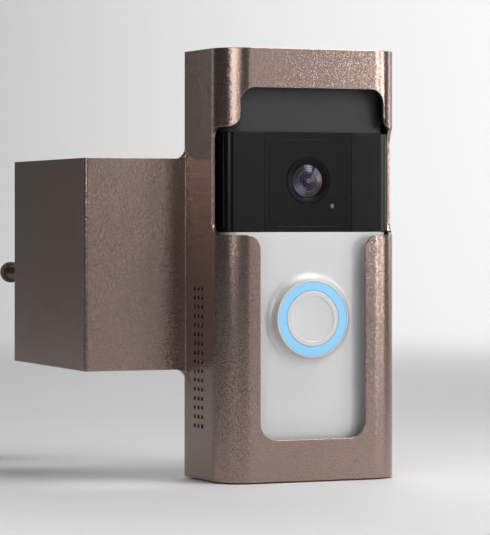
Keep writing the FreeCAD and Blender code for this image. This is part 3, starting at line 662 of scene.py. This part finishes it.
class DOORBELL_OT_doorbell(bpy.types.Operator):
    """Covers, faceplate, button and light ring of the doorbell"""
    bl_idname = "doorbell.doorbell"
    bl_label = "Doorbell covers and button"

    def execute(self, context):
        refine_all(
            head_cover=0.15, camera_window=0.06, top_cap=0.15, faceplate=0.1, light_ring=0.05,
            button_cap=0.08, lens_bezel=0.05, rear_case=0.2, front_frame=0.1, doorbell_bracket=0.2,
            light_sensor=0.05)
        return {"FINISHED"}


class DOORBELL_OT_lens(bpy.types.Operator):
    """Front glass over a coated element with fine rings and painted reflections"""
    bl_idname = "doorbell.lens"
    bl_label = "Lens"

    def execute(self, context):
        glass = eased_copy("lens_glass", "lens_glass_fine", 0)
        fasten(glass, "lens_glass", lens_with_painted_reflections("lens_coating", *middle_and_reach("lens_glass")))
        return {"FINISHED"}


THREAD_PITCH = 0.8 * MM
STEPS_A_TURN = 8


def thread_pattern(finish):
    """Rod with a screw thread that starts at its lower end and fades into the shank at the other."""
    net = Pattern(
        "bolt_thread", Radius=2.5 * MM, Pitch=THREAD_PITCH, Depth=0.42 * MM, Length=29 * MM, Steps=290)
    radius, pitch, depth, length = (net.size(key) for key in ("Radius", "Pitch", "Depth", "Length"))
    rod = net.node("GeometryNodeMeshCylinder", None, {
        "Vertices": 30, "Side Segments": net.size("Steps"), "Radius": radius, "Depth": length})
    x, y, z = net.node("GeometryNodeInputPosition").parts()
    phase = (z / pitch - y.maths("ARCTAN2", x) / math.tau).maths("FRACT")
    crest = ((abs(phase * 2.0 - 1.0) - 0.08) * 1.25).clamped()
    start = ((z + length * 0.5) / pitch).clamped()
    runout = ((length * 0.5 - z) / pitch * 0.5).clamped()
    cut = 1.0 - crest * start
    factor = 1.0 - cut * depth / radius * runout
    place = net.node("ShaderNodeCombineXYZ", None, {0: x * factor, 1: y * factor, 2: z})
    shaped = net.node("GeometryNodeSetPosition", None, {"Geometry": rod, "Position": place})
    laid = net.node("GeometryNodeTransform", None, {
        "Geometry": shaped, "Rotation": (math.radians(-90), 0, 0)})
    net.end(laid, finish)
    return net


def knurl_pattern(finish):
    """Ring of small ribs about the depth axis."""
    net = Pattern("nut_knurl", Radius=3.4 * MM, Rib=0.3 * MM, Length=3.6 * MM, Count=28)
    ring = net.node("GeometryNodeMeshCircle", None, {
        "Vertices": net.size("Count"), "Radius": net.size("Radius")})
    rib = net.node("GeometryNodeMeshCylinder", None, {
        "Vertices": 6, "Radius": net.size("Rib"), "Depth": net.size("Length")})
    ribs = net.node("GeometryNodeInstanceOnPoints", None, {"Points": ring, "Instance": rib})
    laid = net.node("GeometryNodeTransform", None, {
        "Geometry": ribs, "Rotation": (math.radians(90), 0, 0)})
    net.end(laid, finish)
    return net


def moved(piece, place):
    piece.data.transform(Matrix.Translation(place))
    return piece


def threaded_bolt(node, pattern):
    """Bolt with a domed head, a hexagon socket, a real thread and a turned tip."""
    low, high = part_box(node)
    x, z = (low.x + high.x) / 2, (low.z + high.z) / 2
    under_head = high.y - 3.0 * MM
    tip_end = low.y + 2.55 * MM
    head = [(y * MM + high.y, r * MM, *six) for y, r, *six in (
        (-3.0, 2.3), (-3.0, 3.75), (-2.88, 3.94), (-2.7, 4.0), (-1.5, 3.97), (-1.0, 3.86), (-0.55, 3.62),
        (-0.22, 3.25), (-0.05, 2.75), (0.0, 2.3), (-0.03, 2.0), (-0.16, 1.62, 6), (-0.3, 1.52, 6),
        (-1.95, 1.5, 6), (-2.0, 1.44, 6), (-2.25, 0.5))]
    tip = [(y * MM + low.y, r * MM) for y, r in (
        (0.0, 1.5), (0.1, 1.72), (0.32, 1.88), (0.45, 1.9), (2.4, 1.9), (2.55, 1.95), (2.7, 1.9))]
    length = under_head + 0.05 * MM - tip_end
    steps = int(length / THREAD_PITCH * STEPS_A_TURN)
    thread = pattern.mesh(node + "_thread", Length=length, Steps=steps)
    moved(thread, (x, tip_end + length / 2, z))
    solids = turned_piece(node + "_solids", [(head, (x, z)), (tip, (x, z))])
    bolt = joined(node + "_fine", [thread, solids])
    smooth(bolt.data, 40)
    fasten(bolt, node, finish_for(node))


def fine_rivet_nuts(pattern):
    """Flanged threaded inserts with knurled bodies, set in the rear leg."""
    node = "rivet_nuts"
    low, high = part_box(node)
    pieces = []
    for bolt in ("clamp_bolt_near", "clamp_bolt_far"):
        bolt_low, bolt_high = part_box(bolt)
        centre = ((bolt_low.x + bolt_high.x) / 2, (bolt_low.z + bolt_high.z) / 2)
        outline = [(y * MM, r * MM) for y, r in (
            (0.0, 2.56), (0.0, 3.1), (0.25, 3.35), (4.5, 3.35), (4.5, 4.2), (4.65, 4.4), (5.3, 4.4),
            (5.5, 4.2), (5.5, 3.0), (5.2, 2.56))]
        bm = bmesh.new()
        turned_tube(bm, [(low.y + y, r) for y, r in outline], centre)
        bmesh.ops.recalc_face_normals(bm, faces=bm.faces)
        mesh = bpy.data.meshes.new("nut")
        bm.to_mesh(mesh)
        bm.free()
        pieces.append(add_object("nut", mesh))
        ribs = pattern.mesh("ribs", Radius=3.3 * MM, Rib=0.22 * MM, Length=3.4 * MM)
        pieces.append(moved(ribs, (centre[0], low.y + 2.2 * MM, centre[1])))
    nuts = joined(node + "_fine", pieces)
    smooth(nuts.data, 40)
    fasten(nuts, node, finish_for(node))


def turned_tube(mesh, loop, centre, sides=36):
    """Adds a ring-shaped solid: a closed loop of (y, radius) turned about the depth axis."""
    x, z = centre
    rings = []
    for y, radius in loop:
        angles = [math.tau * side / sides for side in range(sides)]
        places = [(x + radius * math.cos(a), y, z + radius * math.sin(a)) for a in angles]
        rings.append([mesh.verts.new(place) for place in places])
    for index, ring in enumerate(rings):
        following = rings[(index + 1) % len(rings)]
        for side in range(sides):
            after = (side + 1) % sides
            mesh.faces.new((ring[side], ring[after], following[after], following[side]))


def fine_screws(node, head_radius, head_height, socket, centres, back):
    """Countersunk screws with hexagon sockets that open to the back. Sizes are in millimetres, and back is the
    plane of the heads."""
    solids = []
    for centre in centres:
        rings = [(back - y * MM, r * MM, *six) for y, r, *six in (
            (head_height, 1.4), (0.25, head_radius - 0.15), (0.1, head_radius), (0.02, head_radius - 0.04),
            (0.0, head_radius - 0.2), (0.0, socket + 0.15), (0.08, socket, 6), (1.0, socket - 0.05, 6),
            (1.15, 0.3))]
        solids.append((rings, centre))
    screws = turned_piece(node + "_fine", solids)
    smooth(screws.data, 35)
    fasten(screws, node, finish_for(node))


class DOORBELL_OT_clamp(bpy.types.Operator):
    """Pressure plate, pads and back plate"""
    bl_idname = "doorbell.clamp"
    bl_label = "Clamp and back"

    def execute(self, context):
        refine_all(
            pressure_plate=0.3, pressure_pad=0.15, back_plate=0.15, back_pad=0.15, leg_pad=0.15,
            edge_pad=0.15, security_screw=0.1)
        return {"FINISHED"}


class DOORBELL_OT_fasteners(bpy.types.Operator):
    """Threaded bolts, knurled nuts and the screws of the back plate"""
    bl_idname = "doorbell.fasteners"
    bl_label = "Bolts, nuts and screws"

    def execute(self, context):
        threads = thread_pattern(finish_for("clamp_bolt_near"))
        for node in ("clamp_bolt_near", "clamp_bolt_far"):
            threaded_bolt(node, threads)
        fine_rivet_nuts(knurl_pattern(finish_for("rivet_nuts")))
        head_radius = 2.55
        _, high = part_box("shield_screws")
        across, up = high.x - head_radius * MM, high.z - head_radius * MM
        centres = [(x * across, z * up) for x in (-1, 1) for z in (-1, 1)]
        fine_screws("shield_screws", head_radius, 1.1, 1.0, centres, high.y)
        return {"FINISHED"}


class DOORBELL_OT_inside(bpy.types.Operator):
    """Finishes on the pieces inside the casing"""
    bl_idname = "doorbell.inside"
    bl_label = "Inside pieces"

    def execute(self, context):
        for node, piece in frame["nodes"].items():
            if SLOT_OF[node] == "lens":
                finish = lens_with_painted_reflections(node + "_coating", *middle_and_reach(node))
            else:
                finish = finish_for(node)
            piece.data.materials.clear()
            piece.data.materials.append(finish)
        return {"FINISHED"}


class DOORBELL_OT_stage(bpy.types.Operator):
    """Pale sweep, soft studio lights and the camera"""
    bl_idname = "doorbell.stage"
    bl_label = "Studio"

    def execute(self, context):
        make_sweep()
        make_lights()
        make_camera()
        return {"FINISHED"}


def make_sweep():
    """Floor just under the doorbell that curves up into a backdrop and faces the camera."""
    floor_z = CAD_BOX[0].z - 0.5 * MM
    near, far, bend, top, half_width = -3.0, 1.2, 0.6, 3.0, 3.0
    steps = 16
    profile = [(near, 0.0), (far, 0.0)]
    for step in range(1, steps + 1):
        angle = math.pi / 2 * step / steps
        profile.append((far + bend * math.sin(angle), bend * (1 - math.cos(angle))))
    profile.append((far + bend, top))
    turn = Matrix.Rotation(VIEW_TURN, 3, "Z")
    verts = [turn @ Vector((side * half_width, y, floor_z + z)) for y, z in profile for side in (-1, 1)]
    faces = [(2 * i, 2 * i + 1, 2 * i + 3, 2 * i + 2) for i in range(len(profile) - 1)]
    mesh = bpy.data.meshes.new("sweep")
    mesh.from_pydata(verts, [], faces)
    mesh.update()
    smooth(mesh, 60)
    sweep = add_object("sweep", mesh)
    paper = Finish("sweep_paper", Base_Color=(0.9, 0.9, 0.905))
    paper.to("Roughness", paper.noise(0.01) * 0.1 + 0.8)
    mesh.materials.append(paper.material)


def make_lights():
    """Soft boxes: keys from the right, small ones for the rounded corners, one over the floor and one for the
    backdrop. Azimuth is in degrees from straight ahead, round to the right."""
    world = bpy.data.worlds.new("studio")
    world.use_nodes = True
    bpy.context.scene.world = world
    background = world.node_tree.nodes["Background"]
    background.inputs["Color"].default_value = (0.9, 0.92, 0.95, 1)
    background.inputs["Strength"].default_value = 0.03
    target = Vector((-0.01, 0.0, 0.0))
    white, warm, cream = (1.0, 1.0, 1.0), (1.0, 0.99, 0.98), (1.0, 0.98, 0.96)
    boxes = (
        # name, azimuth, elevation, distance, width, height, watts, colour
        ("right_front", 38, 8, 1.0, 0.2, 0.3, 1.3, white),
        ("right_wide", 60, 8, 1.0, 0.2, 0.3, 1.3, (1.0, 0.99, 0.97)),
        ("right_edge", 103, 8, 1.0, 0.2, 0.3, 0.5, white),
        ("right_near", 30, 38, 0.4, 0.12, 0.12, 0.4, white),
        ("upper_right", 50, 60, 0.4, 0.12, 0.12, 0.46, white),
        ("front", 18, 8, 1.0, 0.2, 0.3, 0.18, white),
        ("left_near", -45, 16, 0.4, 0.12, 0.16, 0.21, cream),
        ("left_front", -30, 16, 0.4, 0.12, 0.12, 0.08, warm),
        ("left_back", -140, 8, 1.0, 0.16, 0.3, 0.14, white),
        ("top", 10, 80, 0.5, 0.2, 0.2, 0.4, white),
        ("floor", 157, 45, 0.7, 0.4, 0.3, 1.4, white),
    )
    for name, azimuth, elevation, distance, width, height, watts, colour in boxes:
        a, e = math.radians(azimuth), math.radians(elevation)
        away = Vector((math.sin(a) * math.cos(e), -math.cos(a) * math.cos(e), math.sin(e)))
        soft_box(name, target + away * distance, away, (width, height), watts, colour)
    ahead = Vector((0.383, 0.924, 0))
    aside = Vector((0.924, -0.383, 0))
    up = Vector((0, 0, 1))
    place = ahead + aside * 0.35 + up * 0.7
    soft_box("backdrop", place, up * 0.9 - ahead, (0.8, 0.4), 7.5, white)


def soft_box(name, place, away, size, watts, colour):
    """Area light at place that shines against the direction away."""
    lamp = bpy.data.lights.new(name, "AREA")
    lamp.shape = "RECTANGLE"
    lamp.size, lamp.size_y = size
    lamp.energy = watts
    lamp.color = colour
    holder = bpy.data.objects.new(name, lamp)
    holder.location = place
    holder.rotation_euler = away.to_track_quat("Z", "Y").to_euler()
    holder.visible_camera = False
    bpy.context.scene.collection.objects.link(holder)


def make_camera():
    """Level camera to the left of the doorbell, a little above its middle, with a vertical shift."""
    camera = bpy.data.cameras.new("camera")
    camera.sensor_width = 36.0
    camera.lens = 184.0
    camera.shift_y = -0.0907
    camera.clip_end = 20.0
    holder = bpy.data.objects.new("camera", camera)
    holder.location = (-0.3856, -0.9023, 0.0159)
    holder.rotation_euler = (math.radians(90), 0, VIEW_TURN)
    bpy.context.scene.collection.objects.link(holder)
    bpy.context.scene.camera = holder
    bpy.context.scene.view_settings.view_transform = "Standard"
    bpy.context.scene.view_settings.look = "None"


class DOORBELL_PT_panel(bpy.types.Panel):
    """Lists the colours and the steps"""
    bl_idname = "DOORBELL_PT_panel"
    bl_label = "Video doorbell"
    bl_space_type = "VIEW_3D"
    bl_region_type = "UI"
    bl_category = "Doorbell"

    def draw(self, context):
        for key in DoorbellLook.__annotations__:
            self.layout.prop(context.scene.doorbell_look, key)
        for step in STEPS:
            self.layout.operator(step.bl_idname)


STEPS = (
    DOORBELL_OT_inside, DOORBELL_OT_shield, DOORBELL_OT_doorbell, DOORBELL_OT_lens,
    DOORBELL_OT_clamp, DOORBELL_OT_fasteners, DOORBELL_OT_stage)
CLASSES = (DoorbellLook, *STEPS, DOORBELL_PT_panel)


def register():
    for cls in CLASSES:
        bpy.utils.register_class(cls)
    bpy.types.Scene.doorbell_look = bpy.props.PointerProperty(type=DoorbellLook)


def unregister():
    del bpy.types.Scene.doorbell_look
    for cls in reversed(CLASSES):
        bpy.utils.unregister_class(cls)


def main():
    register()
    bpy.ops.doorbell.inside()
    bpy.ops.doorbell.shield()
    bpy.ops.doorbell.doorbell()
    bpy.ops.doorbell.lens()
    bpy.ops.doorbell.clamp()
    bpy.ops.doorbell.fasteners()
    bpy.ops.doorbell.stage()


if __name__ == "__main__":
    main()
